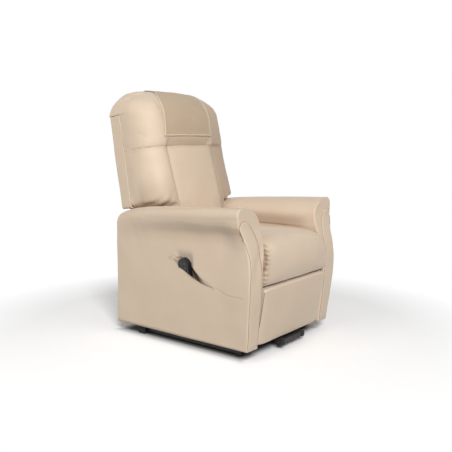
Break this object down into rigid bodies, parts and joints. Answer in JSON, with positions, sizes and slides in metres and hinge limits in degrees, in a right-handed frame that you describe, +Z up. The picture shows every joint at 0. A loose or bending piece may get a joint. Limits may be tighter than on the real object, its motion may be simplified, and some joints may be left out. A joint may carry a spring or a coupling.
{
  "type": "lift recliner",
  "caption": "Upholstered armchair on a lift linkage: it rises and tips forward, the back reclines and the front panel swings up as a legrest.",
  "frame": {"origin": "on the floor, under the centre of the chair's bounding box", "axes": "+Z up, -Y towards the front where the sitter's legs are, +X towards the sitter's left"},
  "size_m": [0.7312, 0.9261, 1.1568],
  "materials": {
    "upholstery": "soft brushed",
    "upholstery_back": "soft brushed",
    "cover_cloth": "soft brushed",
    "black_steel": "satin",
    "grey_steel": "satin",
    "pin_steel": "satin",
    "timber": "raw",
    "black_plastic": "matt",
    "rubber_feet": "matt",
    "grey_plastic": "matt",
    "key_plastic": "matt"
  },
  "bodies": {
    "base": {"base_side_rails": "black_steel", "base_cross_tubes": "black_steel", "base_pivot_brackets": "black_steel", "base_pivot_pins": "pin_steel", "toe_bar": "black_steel", "toe_bar_feet": "rubber_feet", "rear_feet": "black_plastic", "front_feet": "black_plastic"},
    "rear_arm": {"rear_lift_arms": "grey_steel", "lift_torque_tube": "grey_steel"},
    "front_link": {"front_lift_links": "grey_steel"},
    "chair": {"frame_side_plates": "grey_steel", "frame_legs": "grey_steel", "frame_cross_tubes": "grey_steel", "frame_pivot_pins": "pin_steel", "seat_side_rails": "timber", "seat_cross_rails": "timber", "seat_springs": "pin_steel", "actuator_brackets": "grey_steel", "legrest_brackets": "grey_steel", "control_box": "black_plastic", "control_sockets": "grey_plastic", "arm_right": "upholstery", "arm_left": "upholstery", "facing_right": "upholstery", "facing_left": "upholstery", "pocket_flap": "upholstery", "rear_panel": "upholstery_back", "seat_cushion": "upholstery"},
    "back": {"back_posts": "timber", "back_cross_bars": "timber", "back_brackets": "grey_steel", "back_shell": "upholstery_back", "back_cushion": "upholstery", "head_pillow": "upholstery", "head_cover": "cover_cloth", "back_springs": "pin_steel"},
    "drive_link": {"drive_links": "grey_steel", "drive_pins": "pin_steel"},
    "carrier_link": {"carrier_links": "grey_steel", "carrier_pins": "pin_steel"},
    "control_link": {"control_links": "grey_steel", "control_pins": "pin_steel"},
    "stay_link": {"stay_links": "grey_steel"},
    "legrest": {"legrest_board": "timber", "legrest_pad": "upholstery", "legrest_lugs": "grey_steel"},
    "lift_motor": {"lift_motor": "black_plastic", "lift_tube": "grey_plastic"},
    "lift_rod": {"lift_rod": "pin_steel"},
    "recline_motor": {"recline_motor": "black_plastic", "recline_tube": "grey_plastic"},
    "recline_rod": {"recline_rod": "pin_steel"},
    "handset": {"handset_shell": "black_plastic", "handset_keypad": "grey_plastic"},
    "key_raise": {"key_raise": "key_plastic"},
    "key_lower": {"key_lower": "key_plastic"},
    "key_back": {"key_back": "key_plastic"},
    "key_legs": {"key_legs": "key_plastic"}
  },
  "joints": [
    {"name": "lift", "type": "hinge", "parent": "base", "child": "rear_arm", "pos_m": [0, -0.168, 0.078], "axis": [1, 0, 0], "range_deg": [0, 47.3]},
    {"name": "chair_tilt", "type": "hinge", "parent": "rear_arm", "child": "chair", "pos_m": [0, 0.2058, 0.11], "axis": [1, 0, 0], "range_deg": [-24, 0]},
    {"name": "front_link", "type": "hinge", "parent": "base", "child": "front_link", "pos_m": [0, -0.2366, 0.0709], "axis": [1, 0, 0], "range_deg": [0, 57.5]},
    {"name": "lift_motor_swing", "type": "hinge", "parent": "base", "child": "lift_motor", "pos_m": [0, -0.0953, 0.0501], "axis": [1, 0, 0], "range_deg": [0, 11.5]},
    {"name": "lift_rod_slide", "type": "slide", "parent": "lift_motor", "child": "lift_rod", "axis": [0, -0.6987, 0.7154], "range_m": [0, 0.15]},
    {"name": "recline", "type": "hinge", "parent": "chair", "child": "back", "pos_m": [0, 0.2485, 0.33], "axis": [-1, 0, 0], "range_deg": [0, 40]},
    {"name": "recline_motor_swing", "type": "hinge", "parent": "chair", "child": "recline_motor", "pos_m": [0, -0.112, 0.27], "axis": [-1, 0, 0], "range_deg": [0, 4.1]},
    {"name": "recline_rod_slide", "type": "slide", "parent": "recline_motor", "child": "recline_rod", "axis": [0, 0.9921, -0.1251], "range_m": [-0.0835, 0]},
    {"name": "legrest", "type": "hinge", "parent": "chair", "child": "drive_link", "pos_m": [0, -0.3176, 0.2706], "axis": [-1, 0, 0], "range_deg": [0, 127.4]},
    {"name": "carrier_pivot", "type": "hinge", "parent": "drive_link", "child": "carrier_link", "pos_m": [0, -0.1894, 0.1221], "axis": [-1, 0, 0], "range_deg": [-113.2, 0]},
    {"name": "panel_pivot", "type": "hinge", "parent": "carrier_link", "child": "legrest", "pos_m": [0, -0.3695, 0.1911], "axis": [-1, 0, 0], "range_deg": [0, 77.6]},
    {"name": "control_pivot", "type": "hinge", "parent": "chair", "child": "control_link", "pos_m": [0, -0.3757, 0.2622], "axis": [-1, 0, 0], "range_deg": [0, 127.2]},
    {"name": "stay_pivot", "type": "hinge", "parent": "control_link", "child": "stay_link", "pos_m": [0, -0.2569, 0.1403], "axis": [-1, 0, 0], "range_deg": [-105.6, 0]},
    {"name": "handset_lift", "type": "slide", "parent": "chair", "child": "handset", "axis": [-0.2079, 0, 0.9781], "range_m": [0, 0.15]},
    {"name": "press_raise", "type": "slide", "parent": "handset", "child": "key_raise", "axis": [0.9781, 0, 0.2079], "range_m": [0, 0.0012], "stiffness_N_per_m": 350, "springref_m": -0.0006},
    {"name": "press_lower", "type": "slide", "parent": "handset", "child": "key_lower", "axis": [0.9781, 0, 0.2079], "range_m": [0, 0.0012], "stiffness_N_per_m": 350, "springref_m": -0.0006},
    {"name": "press_back", "type": "slide", "parent": "handset", "child": "key_back", "axis": [0.9781, 0, 0.2079], "range_m": [0, 0.0012], "stiffness_N_per_m": 350, "springref_m": -0.0006},
    {"name": "press_legs", "type": "slide", "parent": "handset", "child": "key_legs", "axis": [0.9781, 0, 0.2079], "range_m": [0, 0.0012], "stiffness_N_per_m": 350, "springref_m": -0.0006}
  ],
  "couplings": [
    {"joint": "chair_tilt", "follows": "lift", "ratio": -0.4896},
    {"joint": "front_link", "follows": "lift", "ratio": 1.2006},
    {"joint": "lift_motor_swing", "follows": "lift", "ratio": 0.2337},
    {"joint": "lift_rod_slide", "follows": "lift", "m_per_rad": 0.1803},
    {"joint": "recline_motor_swing", "follows": "recline", "ratio": 0.0975},
    {"joint": "recline_rod_slide", "follows": "recline", "m_per_rad": -0.1177},
    {"joint": "carrier_pivot", "follows": "legrest", "ratio": -0.8855},
    {"joint": "panel_pivot", "follows": "legrest", "ratio": 0.6053},
    {"joint": "control_pivot", "follows": "legrest", "ratio": 0.9954},
    {"joint": "stay_pivot", "follows": "legrest", "ratio": -0.8247}
  ]
}
